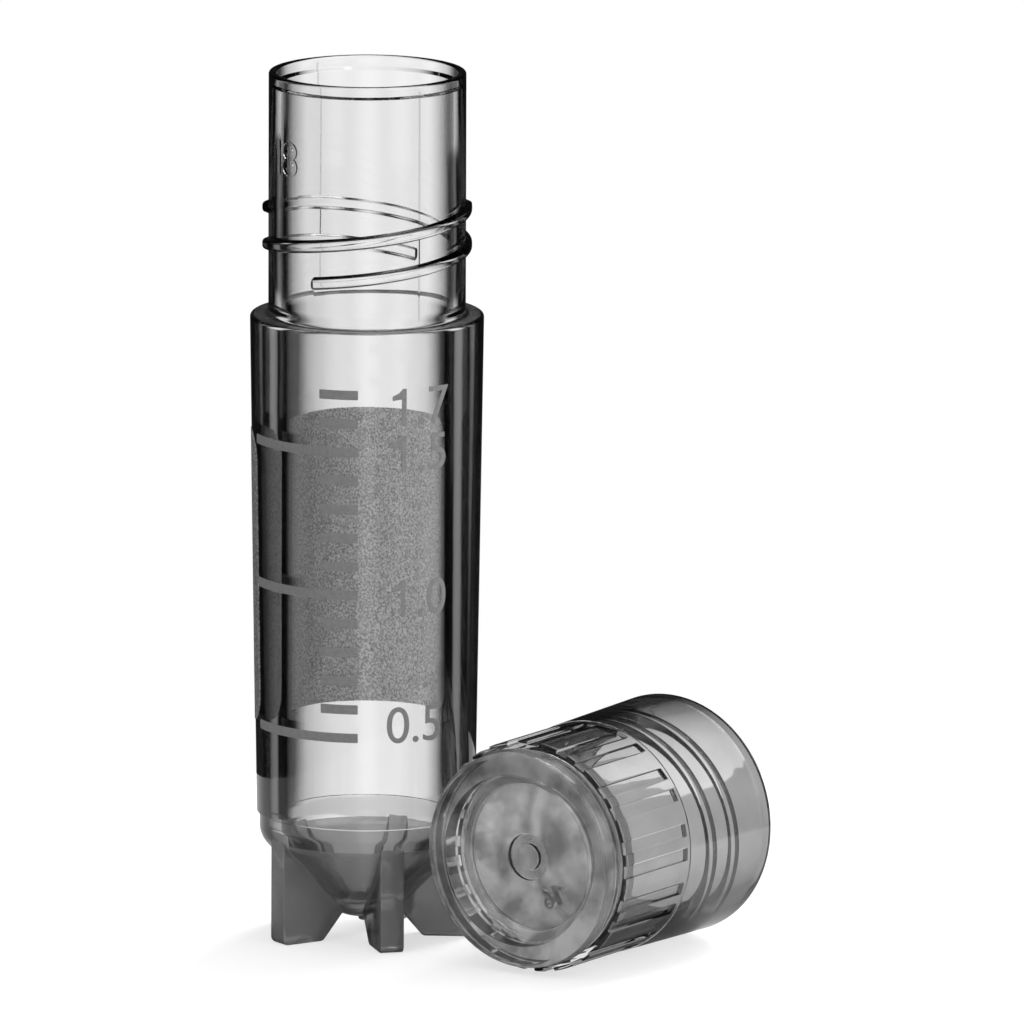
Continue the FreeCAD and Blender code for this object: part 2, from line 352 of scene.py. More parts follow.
def figures(words: str, height: float) -> Mesh:
    """Draws flat figures in the XZ plane, with their left edge and their middle height at 0.

    Args:
        words: The figures.
        height: How tall they are, in mm.

    Returns:
        Their faces, in mm.
    """
    curve = bpy.data.curves.new("figures", "FONT")
    curve.body = words
    item = bpy.data.objects.new("figures", curve)
    bpy.context.scene.collection.objects.link(item)
    shown = item.evaluated_get(bpy.context.evaluated_depsgraph_get())
    flat = bmesh.new()
    flat.from_mesh(shown.to_mesh())
    shown.to_mesh_clear()
    bpy.data.objects.remove(item)
    bpy.data.curves.remove(curve)
    left = min(vert.co.x for vert in flat.verts)
    lowest = min(vert.co.y for vert in flat.verts)
    highest = max(vert.co.y for vert in flat.verts)
    scale = height / (highest - lowest)
    for vert in flat.verts:
        across, up, _ = vert.co
        vert.co = Vector(((across - left) * scale, 0, (up - (lowest + highest) / 2) * scale))
    bmesh.ops.remove_doubles(flat, verts=flat.verts, dist=1e-5)
    return flat


# A 1 of height 1 with a flag, and how far on from it a point or a figure starts.
FLAGGED_ONE = (
    (0.0, 0.68), (0.26, 0.71), (0.26, 0.0), (0.39, 0.0), (0.39, 1.0), (0.29, 1.0), (0.18, 0.88), (0.0, 0.8)
)
STEP_TO_POINT = 0.75
STEP_TO_FIGURE = 0.55


def number(words: str, height: float) -> Mesh:
    """Draws a flat number as its figures are drawn, but with a flag on a leading 1.

    Args:
        words: The number.
        height: How tall it is, in mm.

    Returns:
        Its faces, in mm.
    """
    if not words.startswith("1"):
        return figures(words, height)
    one = bmesh.new()
    corners = [one.verts.new(Vector((across, 0, up - 0.5)) * height) for across, up in FLAGGED_ONE]
    bmesh.ops.triangulate(one, faces=[one.faces.new(corners)])
    rest = figures(words[1:], height)
    step = STEP_TO_POINT if words[1] == "." else STEP_TO_FIGURE
    bmesh.ops.translate(rest, verts=rest.verts, vec=(height * step, 0, 0))
    return joined([one, rest])


@dataclass(frozen=True)
class Skin:
    """A thin skin on a round surface, between two depths off it. Lengths in mm, angles in degrees."""

    radius_at: Callable[[float], float]
    low: float
    high: float
    widest_strip: float = 1.5

    def wrap(self, flat: Mesh, start: float, end: float) -> Mesh:
        """Cuts a flat sheet into even strips, and wraps it round the Z axis.

        Args:
            flat: The sheet in the XZ plane. Its X is an angle and its Z is a height.
            start: Its first X.
            end: Its last X.

        Returns:
            The closed skin, in metres.
        """
        count = math.ceil((end - start) / self.widest_strip)
        for index in range(1, count):
            bmesh.ops.bisect_plane(
                flat,
                geom=everything_in(flat),
                plane_co=(start + (end - start) * index / count, 0, 0),
                plane_no=(1, 0, 0),
                dist=1e-6,
            )
        slab = thickened(flat)
        for vert in slab.verts:
            degrees, layer, height = vert.co
            reach = self.radius_at(height) + (self.high if layer > 0.5 else self.low)
            turn = math.radians(degrees)
            vert.co = Vector((reach * math.cos(turn), reach * math.sin(turn), height)) * MM
        bmesh.ops.recalc_face_normals(slab, faces=slab.faces)
        return slab

    def number(self, words: str, tall: float, start: float, height: float) -> Mesh:
        """Lays a number on the surface.

        Args:
            words: The number.
            tall: How tall it is.
            start: The angle of its left edge.
            height: The height of its middle.

        Returns:
            The closed number, in metres.
        """
        degrees_per_mm = math.degrees(1 / self.radius_at(height))
        flat = number(words, tall)
        for vert in flat.verts:
            vert.co = Vector((start + vert.co.x * degrees_per_mm, 0, height + vert.co.z))
        return self.wrap(flat, start, max(vert.co.x for vert in flat.verts))


# Finishes


def grey(level: float) -> tuple[float, float, float, float]:
    """An opaque grey."""
    return (level, level, level, 1.0)


class Graph:
    """The nodes of one material or world."""

    def __init__(self, tree: bpy.types.NodeTree) -> None:
        """Empties the tree and keeps it."""
        tree.nodes.clear()
        self.tree = tree

    def add(self, kind: str, inputs: Inputs | None = None, **settings: object) -> Node:
        """Adds a node.

        Args:
            kind: The node's type, without the words that every type starts with.
            inputs: What its inputs hold: plain values, or the sockets and nodes that they are joined to.
            settings: Properties set on the node itself.

        Returns:
            The node.
        """
        node = self.tree.nodes.new("ShaderNode" + kind)
        for name, value in settings.items():
            setattr(node, name, value)
        for name, value in (inputs or {}).items():
            source = value.outputs[0] if isinstance(value, Node) else value
            if isinstance(source, Socket):
                self.tree.links.new(source, node.inputs[name])
            else:
                node.inputs[name].default_value = source
        return node

    def ramp(self, source: Socket, stops: Stops) -> Socket:
        """Turns a value into a grey through a colour ramp.

        Args:
            source: The value that drives the ramp.
            stops: The ramp's stops, as (position, grey).

        Returns:
            The ramp's colour output.
        """
        node = self.add("ValToRGB", {"Fac": source})
        elements = node.color_ramp.elements
        for _ in stops[2:]:
            elements.new(0.5)
        for element, (position, level) in zip(elements, stops):
            element.position = position
            element.color = grey(level)
        return node.outputs["Color"]

    def ranged(self, source: Socket, span: Sequence[float], onto: Sequence[float] = (0.0, 1.0)) -> Socket:
        """Carries a value's span onto another, and holds it between that one's ends."""
        ends = {"From Min": span[0], "From Max": span[1], "To Min": onto[0], "To Max": onto[1]}
        return self.add("MapRange", {"Value": source, **ends}).outputs["Result"]

    def worked_out(self, how: str, *values: object, use_clamp: bool = False) -> Socket:
        """Works out a value from sockets or numbers, by an operation's name."""
        return self.add("Math", dict(enumerate(values)), operation=how, use_clamp=use_clamp).outputs[0]

    def mixed(self, share: object, first: object, second: object, how: str = "MIX") -> Socket:
        """Mixes a share of a second colour into the first."""
        return self.add("Mix", {0: share, 6: first, 7: second}, data_type="RGBA", blend_type=how).outputs[2]

    def noise(self, scale: float, detail: float = 2.0) -> Socket:
        """Adds a noise pattern on the piece's own coordinates, its scale in cells a metre."""
        place = self.add("TexCoord").outputs["Object"]
        return self.add("TexNoise", {"Scale": scale, "Detail": detail, "Vector": place}).outputs[0]

    def bump(self, source: Socket, strength: float, height: float) -> Socket:
        """Bumps the skin as a value says, its height in metres."""
        return self.add("Bump", {"Strength": strength, "Distance": height, "Height": source}).outputs[0]

    def finish(self, first: Node, second: Node | None = None, share: float = 0.0) -> None:
        """Joins a shader, with a share of a second one mixed in if there is one, to a new output."""
        shader = self.add("MixShader", {"Fac": share, 1: first, 2: second}) if second else first
        self.add("OutputMaterial", {"Surface": shader})


def new_material(name: str) -> tuple[Material, Graph]:
    """Makes an empty node material.

    Args:
        name: The material's name.

    Returns:
        The material and its graph.
    """
    material = bpy.data.materials.new(name)
    material.use_nodes = True
    return material, Graph(material.node_tree)


@dataclass(frozen=True)
class ClearPlastic:
    """Clear moulded polypropylene: it bends light, and painted shade darkens its colour where the surface
    turns away from the eye.

    Its ripples bend the skin, and its mottle is how much of the light the cloudier patches hold back.
    """

    name: str
    tint_and_edge_shade: Stops = ((0.0, 0.97), (0.3, 0.93), (0.44, 0.58), (0.54, 0.08), (0.62, 0.0004))
    clarity: float = 1.0
    ior: float = 1.49
    roughness: float = 0.03
    ripple: float = 0.05
    ripple_height: float = 0.0002
    ripples_per_metre: float = 260.0
    mottle: float = 0.0
    mottle_edges: tuple[float, float] = (0.36, 0.6)
    mottles_per_metre: float = 500.0

    def build(self) -> Material:
        """Makes the material.

        Returns:
            The material.
        """
        material, graph = new_material(self.name)
        # Painted shade: the base colour runs down the ramp towards black as the surface turns away from the
        # eye.
        facing = graph.add("LayerWeight", {"Blend": 0.5}).outputs["Facing"]
        patches = list(zip(self.mottle_edges, (1.0 - self.mottle, 1.0)))
        cloud = graph.ramp(graph.noise(self.mottles_per_metre, detail=4.0), patches)
        graph.finish(graph.add("BsdfPrincipled", {
            "Base Color": graph.mixed(1.0, graph.ramp(facing, self.tint_and_edge_shade), cloud, how="MULTIPLY"),
            "Transmission Weight": self.clarity,
            "IOR": self.ior,
            "Roughness": self.roughness,
            "Normal": graph.bump(graph.noise(self.ripples_per_metre), self.ripple, self.ripple_height),
        }))
        return material


@dataclass(frozen=True)
class SoftMatter:
    """Silicone or ink: mottled matter that light soaks through, under a faint gloss."""

    name: str
    light: float
    dark: float
    see_through: float
    ior: float = 1.5
    roughness: float = 0.6
    mottle_edges: tuple[float, float] = (0.42, 0.58)
    mottles_per_metre: float = 5200.0
    grain: float = 0.0
    grain_height: float = 0.00005
    grains_per_metre: float = 2500.0

    def build(self) -> Material:
        """Makes the material.

        Returns:
            The material.
        """
        material, graph = new_material(self.name)
        color = grey(self.light)
        if self.dark < self.light:
            mottles = graph.noise(self.mottles_per_metre, detail=3.0)
            color = graph.ramp(mottles, list(zip(self.mottle_edges, (self.dark, self.light))))
        skin = {}
        if self.grain:
            skin["Normal"] = graph.bump(graph.noise(self.grains_per_metre), self.grain, self.grain_height)
        gloss = {"Base Color": color, "IOR": self.ior, "Roughness": self.roughness}
        face = graph.add("BsdfPrincipled", gloss | skin)
        through = graph.add("BsdfTranslucent", {"Color": color} | skin)
        graph.finish(face, through, self.see_through)
        return material


# Each ramp runs from the plastic's own tint, where the surface faces the eye, to painted shade where it
# turns away.
FOOT_TINT_AND_EDGE_SHADE = ((0.0, 0.42), (0.5, 0.35), (0.75, 0.12), (0.9, 0.008))
NECK_TINT_AND_EDGE_SHADE = ((0.0, 0.97), (0.3, 0.93), (0.5, 0.55), (0.62, 0.1), (0.7, 0.01))
CAP_TINT_AND_EDGE_SHADE = ((0.0, 0.96), (0.33, 0.88), (0.49, 0.5), (0.62, 0.08), (0.74, 0.003))
END_TINT_AND_EDGE_SHADE = ((0.0, 0.98), (0.4, 0.95), (0.6, 0.75), (0.8, 0.45), (0.95, 0.2))
# Painted shade: near-black plastic for the dark lines at the thread's flanks, and in the cap at the gate
# ring's walls and the raised number.
PAINTED_STEP_SHADE = ((0.0, 0.06), (0.3, 0.008), (0.5, 0.0005))


def all_finishes() -> Finishes:
    """Makes every finish on the vial and its cap.

    Returns:
        The materials by name.
    """
    finishes = (
        ClearPlastic("clear_vial_plastic"),
        # The neck's copy of the clear plastic, with narrower painted edge shade.
        ClearPlastic("neck_plastic_narrower_edge_shade", NECK_TINT_AND_EDGE_SHADE),
        ClearPlastic(
            "cloudy_foot_plastic", FOOT_TINT_AND_EDGE_SHADE, 0.62, roughness=0.12, ripple=0.3, ripples_per_metre=700.0
        ),
        ClearPlastic("clear_cap_plastic", CAP_TINT_AND_EDGE_SHADE, 0.98, ripple=0.12, mottle=0.1),
        ClearPlastic("cloudy_cap_plastic", END_TINT_AND_EDGE_SHADE, 0.82, roughness=0.05, ripple=0.2, mottle=0.7),
        ClearPlastic("textured_cap_plastic", END_TINT_AND_EDGE_SHADE, 0.95, roughness=0.2, ripple=0.3, mottle=0.5),
        ClearPlastic("painted_step_shade_plastic", PAINTED_STEP_SHADE),
        SoftMatter("cloudy_silicone", 0.93, 0.93, see_through=0.5, ior=1.41, roughness=0.4, grain=0.15),
        SoftMatter("panel_ink", light=1.0, dark=0.5, see_through=0.85, mottles_per_metre=9500.0),
        SoftMatter("mark_ink", light=0.38, dark=0.34, see_through=0.3),
    )
    return {finish.name: finish.build() for finish in finishes}


# Sub-assemblies


class VialSkin(IntEnum):
    """The vial's finishes, in the order that its faces count them."""

    BARREL = 0
    CLOUDY = 1
    # The neck's clear plastic, with narrower painted edge shade.
    NECK = 2
    # Painted shade on the thread's flanks.
    STEP = 3


@dataclass(frozen=True)
class Vial:
    """The vial: barrel, neck, well, star foot and thread in one clear moulding. Lengths in mm."""

    height: float = 46.9
    shoulder_height: float = 33.8
    shoulder_round: float = 0.18
    barrel_bottom: float = 6.75
    barrel_bottom_round: float = 0.06
    barrel_top_radius: float = 6.25
    barrel_bottom_radius: float = 5.85
    neck_radius: float = 5.27
    neck_root_round: float = 0.2
    rim_round: float = 0.14
    mouth_radius: float = 4.85
    mouth_lead: float = 0.57
    lead_round: float = 0.08
    bore_radius: float = 4.66
    bore_bottom: float = 34.3
    bore_blend: float = 1.5
    well_radius: float = 4.54
    well_cone_top: float = 5.6
    well_floor_radius: float = 1.3
    well_floor: float = 2.3
    well_round: float = 1.2
    dome_radius: float = 5.7
    dome_top_round: float = 0.04
    dome_cone_top: float = 5.44
    dome_bottom_radius: float = 1.46
    dome_bottom: float = 1.1
    dome_round: float = 1.4
    gate_radius: float = 0.4
    gate_bottom: float = 0.75
    gate_round: float = 0.12
    gate_root_round: float = 0.1
    foot_count: int = 5
    foot_width: float = 1.3
    foot_outer: float = 5.64
    foot_inner: float = 3.1
    foot_round: float = 0.35
    foot_edge: float = 0.08
    foot_turn: float = 285.0
    foot_sunk_up: float = 0.2
    foot_sunk_in: float = 0.45
    foot_sunk_middle: float = 0.75
    neck_number: str = "18"
    neck_number_height: float = 1.85
    neck_number_place: float = 42.7
    neck_number_turn: float = 202.0
    neck_number_relief: float = 0.1
    line_turns: tuple[float, ...] = (122.0, 302.0)
    line_width: float = 0.06
    line_relief: float = 0.03
    line_gap: float = 0.2
    sunk: float = 0.05
    thread: Thread = Thread(5.1, 5.6, crest_round=0.2, turns=0.847, bottom=36.2, turn=58.0)
    flanks: tuple[float, float] = (-0.6, 4.2)
    cloud_off_well: float = 0.5
    cloud_under_well: float = -0.1

    def barrel_radius(self, height: float) -> float:
        """The barrel's outside radius at a height, in mm."""
        share = (height - self.barrel_bottom) / (self.shoulder_height - self.barrel_bottom)
        return self.barrel_bottom_radius + share * (self.barrel_top_radius - self.barrel_bottom_radius)

    def outline(self) -> list[Corner]:
        """Draws the outline from the axis underneath, up the outside and down the well.

        Returns:
            Its corners.
        """
        lead_bottom = self.height - self.mouth_lead
        return [
            Corner(0.0, self.gate_bottom),
            Corner(self.gate_radius, self.gate_bottom, self.gate_round),
            Corner(self.gate_radius, self.dome_bottom, self.gate_root_round),
            Corner(self.dome_bottom_radius, self.dome_bottom, self.dome_round),
            Corner(self.dome_radius, self.dome_cone_top, self.dome_round),
            Corner(self.dome_radius, self.barrel_bottom, self.dome_top_round),
            Corner(self.barrel_bottom_radius, self.barrel_bottom, self.barrel_bottom_round),
            Corner(self.barrel_top_radius, self.shoulder_height, self.shoulder_round),
            Corner(self.neck_radius, self.shoulder_height, self.neck_root_round),
            Corner(self.neck_radius, self.height, self.rim_round),
            Corner(self.mouth_radius, self.height, self.rim_round),
            Corner(self.mouth_radius, lead_bottom, self.lead_round),
            Corner(self.bore_radius, lead_bottom - (self.mouth_radius - self.bore_radius), self.lead_round),
            Corner(self.bore_radius, self.bore_bottom, self.bore_blend),
            Corner(self.well_radius, self.shoulder_height, self.bore_blend),
            Corner(self.well_radius, self.well_cone_top, self.well_round),
            Corner(self.well_floor_radius, self.well_floor, self.well_round),
            Corner(0.0, self.well_floor),
        ]

    def star_foot(self) -> Mesh:
        """Builds the plates of the star foot.

        Returns:
            The closed plates, with their roots sunk in the dome's wall.
        """
        top = self.dome_cone_top + self.foot_sunk_up
        blade = plate([
            Corner(self.foot_inner, 0.0, self.foot_round),
            Corner(self.foot_outer, 0.0, self.foot_round),
            Corner(self.foot_outer, top),
            Corner(self.foot_outer - self.foot_sunk_in, top),
            Corner(self.dome_bottom_radius, self.dome_bottom + self.foot_sunk_middle),
        ], self.foot_width * MM)
        rim = [edge for edge in blade.edges if abs(edge.verts[0].co.y - edge.verts[1].co.y) < TOUCHING]
        width = self.foot_edge * MM
        bmesh.ops.bevel(blade, geom=rim, offset=width, segments=2, profile=0.5, affect="EDGES", material=-1)
        return round_the_axis(blade, evenly(self.foot_count, self.foot_turn))

    def parting_lines(self) -> Mesh:
        """Builds the mould's parting lines, up the neck.

        Returns:
            The closed lines, with their roots sunk in the wall.
        """
        bottom = self.shoulder_height + self.neck_root_round + self.line_gap
        top = self.height - self.rim_round - self.line_gap
        depth = self.line_relief + self.sunk
        place = Vector((self.neck_radius + self.line_relief - depth / 2, 0.0, (bottom + top) / 2)) * MM
        line = bmesh.new()
        bmesh.ops.create_cube(line, size=1.0)
        bmesh.ops.scale(line, vec=Vector((depth, self.line_width, top - bottom)) * MM, verts=line.verts)
        bmesh.ops.translate(line, vec=place, verts=line.verts)
        return round_the_axis(line, self.line_turns)

    def skin_at(self, place: Vector) -> VialSkin:
        """Tells which finish a place on the moulding has.

        Args:
            place: The place, in mm.

        Returns:
            The finish. The flat of the shoulder is cloudy, as the outside of the foot is.
        """
        across = place.xy.length
        # The thread's flanks get painted shade.
        is_flank = self.neck_radius + HAIR < across < self.thread.crest_radius - 3 * HAIR
        if is_flank and self.flanks[0] < place.z - self.thread.bottom < self.flanks[1]:
            return VialSkin.STEP
        if place.z > self.shoulder_height - HAIR:
            flat_start = self.neck_radius + self.neck_root_round
            is_flat = flat_start < across < self.barrel_top_radius - self.shoulder_round
            return VialSkin.CLOUDY if is_flat and place.z < self.shoulder_height + HAIR else VialSkin.NECK
        up = (place.z - self.well_floor) / (self.well_cone_top - self.well_floor)
        well = self.well_floor_radius + up * (self.well_radius - self.well_floor_radius)
        is_outside = up < self.cloud_under_well or across > well + self.cloud_off_well
        return VialSkin.CLOUDY if place.z < self.dome_cone_top and is_outside else VialSkin.BARREL

    def build(self, finishes: Finishes) -> None:
        """Builds the moulding in place of its solid.

        Args:
            finishes: The finishes to dress it in.
        """
        neck = Skin(lambda height: self.neck_radius, -self.sunk, self.neck_number_relief)
        cavity = neck.number(
            self.neck_number, self.neck_number_height, self.neck_number_turn, self.neck_number_place
        )
        shell = turned(self.outline())
        for part in (self.star_foot(), self.thread.build(), joined([cavity, self.parting_lines()])):
            shell = worked(shell, part, Merge.UNITE)
        for face in shell.faces:
            face.material_index = self.skin_at(face.calc_center_median() / MM)
        skins = ("clear_vial_plastic", "cloudy_foot_plastic", "neck_plastic_narrower_edge_shade", "painted_step_shade_plastic")
        moulding = finished_piece(shell, "vial_moulding", "vial", [finishes[name] for name in skins])
        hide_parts("tube")


# The joint that the cap turns about where it lies, and how far up the cap's axis it is, in mm.
CAP_JOINT = "cap_turn"
JOINT_DEPTH = 7.0


def lying() -> Matrix:
    """Finds the move from the cap's own axis, closed end at the origin, to where the cap lies.

    Returns:
        The 4x4 matrix, in metres.
    """
    joint = next(item for item in frame["joints"] if item["name"] == CAP_JOINT)
    along = Vector(joint["axis"]).normalized()
    level = UP.cross(along).normalized()
    turn = Matrix((level, along.cross(level), along)).transposed().to_4x4()
    closed_end = Vector(joint["pos_m"]) - along * (JOINT_DEPTH * MM)
    return Matrix.Translation(closed_end) @ turn


class CapSkin(IntEnum):
    """The cap's finishes, in the order that its faces count them."""

    SKIRT = 0
    END = 1
    PLUG = 2
    # Painted shade on the thread's flanks, the gate ring's walls and the number.
    STEP = 3


@dataclass(frozen=True)
class ScrewCap:
    """The screw cap in one clear moulding, drawn on its own axis from its closed end. Lengths in mm."""

    length: float = 14.57
    edge_round: float = 0.1
    fine_round: float = 0.05
    end_radius: float = 5.8
    end_round: float = 0.3
    collar_radius: float = 5.93
    collar_end: float = 0.85
    neckline_radius: float = 5.78
    neckline_rounds: tuple[float, float] = (0.03, 0.04)
    band_start: float = 1.3
    band_round: float = 0.15
    band_radius: float = 6.25
    band_end: float = 7.2
    band_end_round: float = 0.02
    skirt_radius: float = 6.3
    mouth_radius: float = 6.475
    lip_round: float = 0.22
    groove_groups: int = 12
    groove_width: float = 0.69
    groove_depth: float = 0.2
    groove_end: float = 6.85
    groove_runout: float = 0.15
    cutter_past_rim: float = 0.5
    cutter_past_runout: float = 0.4
    wide_rib_turn: float = 10.4
    wide_rib_half: float = 9.0
    dish_radius: float = 4.66
    dish_floor_radius: float = 4.05
    dish_depth: float = 1.04
    dish_floor_round: float = 0.15
    ring_outer: float = 1.25
    ring_inner: float = 0.72
    ring_depth: float = 0.25
    ring_edge_round: float = 0.08
    ring_floor_round: float = 0.06
    bore: float = 5.7
    lead_radius: float = 5.9
    lead_round: float = 0.12
    lead: float = 0.35
    seat_depth: float = 1.9
    seat_round: float = 0.08
    plug_radius: float = 4.1
    plug_depth: float = 2.25
    frost_end: float = 1.25
    end_number: str = "16"
    end_number_height: float = 1.1
    end_number_reach: float = 2.45
    end_number_turn: float = -26.0
    end_number_relief: float = 0.25
    sunk: float = 0.05
    thread: Thread = Thread(
        5.86, 5.37, crest_round=0.1, turns=1.055, bottom=8.27, turn=60.0, root_width=0.92, crest_width=0.32
    )
    flanks_start: float = -1.0
    crest_margin: float = 0.03
    ring_margin: float = 0.1
    number_margin: float = 0.05

    def outline(self) -> list[Corner]:
        """Draws the outline from the middle of the dish, round the outside and into the bore.

        Returns:
            Its corners.
        """
        ring_floor = self.dish_depth + self.ring_depth
        return [
            Corner(0.0, self.dish_depth),
            Corner(self.ring_inner, self.dish_depth, self.ring_edge_round),
            Corner(self.ring_inner, ring_floor, self.ring_floor_round),
            Corner(self.ring_outer, ring_floor, self.ring_floor_round),
            Corner(self.ring_outer, self.dish_depth, self.ring_edge_round),
            Corner(self.dish_floor_radius, self.dish_depth, self.dish_floor_round),
            Corner(self.dish_radius, 0.0, self.edge_round),
            Corner(self.end_radius, 0.0, self.end_round),
            Corner(self.collar_radius, self.collar_end, self.fine_round),
            Corner(self.neckline_radius, self.collar_end, self.neckline_rounds[0]),
            Corner(self.neckline_radius, self.band_start, self.neckline_rounds[1]),
            Corner(self.band_radius, self.band_start, self.band_round),
            Corner(self.band_radius, self.band_end, self.band_end_round),
            Corner(self.skirt_radius, self.band_end, self.band_end_round),
            Corner(self.mouth_radius, self.length, self.lip_round),
            Corner(self.lead_radius, self.length, self.lead_round),
            Corner(self.bore, self.length - self.lead, self.edge_round),
            Corner(self.bore, self.seat_depth, self.seat_round),
            Corner(self.plug_radius, self.seat_depth, self.fine_round),
            Corner(self.plug_radius, self.plug_depth, self.edge_round),
            Corner(0.0, self.plug_depth),
        ]

    def grooves(self) -> Mesh:
        """Builds the cutter for the grip, with a groove on each side of each wide rib.

        Returns:
            The closed cutter, open at the collar and running out at the skirt.
        """
        floor = self.band_radius - self.groove_depth
        outside = self.mouth_radius + self.cutter_past_rim
        runout = self.groove_end + self.groove_runout
        cutter = plate([
            Corner(floor, self.collar_end),
            Corner(outside, self.collar_end),
            Corner(outside, runout + self.cutter_past_runout),
            Corner(self.skirt_radius, runout),
            Corner(floor, self.groove_end, self.edge_round),
        ], self.groove_width * MM)
        ribs = evenly(self.groove_groups, self.wide_rib_turn)
        return round_the_axis(cutter, [rib + side * self.wide_rib_half for rib in ribs for side in (-1, 1)])

    def number_in_end(self) -> Mesh:
        """Builds the raised number inside the closed end, with its top towards the middle.

        Returns:
            The closed number, with its root sunk in the end.
        """
        raised = thickened(number(self.end_number, self.end_number_height))
        middle = max(vert.co.x for vert in raised.verts) / 2
        for vert in raised.verts:
            across, layer, up = vert.co
            depth = self.plug_depth + (self.end_number_relief if layer > 0.5 else -self.sunk)
            vert.co = Vector((across - middle, up - self.end_number_reach, depth)) * MM
        bmesh.ops.recalc_face_normals(raised, faces=raised.faces)
        return round_the_axis(raised, [self.end_number_turn])

    def skin_at(self, place: Vector) -> CapSkin:
        """Tells which finish a place on the cap, on its own axis, has.

        Args:
            place: The place, in mm.

        Returns:
            The finish. The thread's flanks, the walls of the gate's ring and the number count as steps,
            which get painted shade.
        """
        across = place.xy.length
        if place.z < self.frost_end:
            is_wall = 2 * HAIR < place.z - self.dish_depth < self.ring_depth - 2 * HAIR
            return CapSkin.STEP if is_wall and across < self.ring_outer + self.ring_margin else CapSkin.END
        is_flank = self.thread.crest_radius + self.crest_margin < across < self.bore - HAIR
        if is_flank and place.z > self.thread.bottom + self.flanks_start:
            return CapSkin.STEP
        number_top = self.plug_depth + self.end_number_relief
        if across > self.plug_radius or place.z > number_top + self.number_margin:
            return CapSkin.SKIRT
        return CapSkin.STEP if place.z > self.plug_depth + HAIR else CapSkin.PLUG

    def build(self, finishes: Finishes) -> None:
        """Builds the moulding in place of its solid.

        Args:
            finishes: The finishes to dress it in.
        """
        shell = turned(self.outline())
        shell = worked(shell, self.grooves(), Merge.CUT)
        for part in (self.thread.build(), self.number_in_end()):
            shell = worked(shell, part, Merge.UNITE)
        for face in shell.faces:
            face.material_index = self.skin_at(face.calc_center_median() / MM)
        bmesh.ops.transform(shell, matrix=lying(), verts=shell.verts)
        skins = ("clear_cap_plastic", "cloudy_cap_plastic", "textured_cap_plastic", "painted_step_shade_plastic")
        moulding = finished_piece(shell, "cap_moulding", "screw_cap", [finishes[name] for name in skins])
        for polygon in moulding.data.polygons:
            polygon.use_smooth = polygon.material_index != CapSkin.PLUG
        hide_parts("cap")


@dataclass(frozen=True)
class Washer:
    """The silicone washer round the cap's plug. Lengths in mm, depths from the cap's closed end."""

    outer: float = 5.55
    inner: float = 4.25
    back: float = 1.95
    back_round: float = 0.05
    face: float = 2.7
    face_round: float = 0.12
    steps: int = 160

    def build(self, finishes: Finishes) -> None:
        """Builds the washer in place of its solid.

        Args:
            finishes: The finishes to dress it in.
        """
        ring = turned([
            Corner(self.inner, self.back, self.back_round),
            Corner(self.outer, self.back, self.back_round),
            Corner(self.outer, self.face, self.face_round),
            Corner(self.inner, self.face, self.face_round),
        ], self.steps, arc_steps=5)
        bmesh.ops.transform(ring, matrix=lying(), verts=ring.verts)
        washer = finished_piece(ring, "silicone_washer", "washer", [finishes["cloudy_silicone"]])
        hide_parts("seal_ring")


@dataclass(frozen=True)
class Patch:
    """A patch of ink with straight sides. Heights in mm, angles in degrees."""

    start: float
    sweep: float
    bottom: float
    top: float
    corner: float
    corner_steps: int = 10

    def build(self, skin: Skin) -> Mesh:
        """Lays the patch on a surface.

        Args:
            skin: The surface's skin.

        Returns:
            The closed patch.
        """
        degrees_per_mm = math.degrees(1 / skin.radius_at((self.bottom + self.top) / 2))
        width = self.sweep / degrees_per_mm
        places = ((0.0, self.bottom), (width, self.bottom), (width, self.top), (0.0, self.top))
        spots = rounded_outline([Corner(*place, self.corner) for place in places], self.corner_steps)
        flat = bmesh.new()
        flat.faces.new([
            flat.verts.new((self.start + spot.x / MM * degrees_per_mm, 0, spot.z / MM)) for spot in spots
        ])
        return skin.wrap(flat, self.start, self.start + self.sweep)


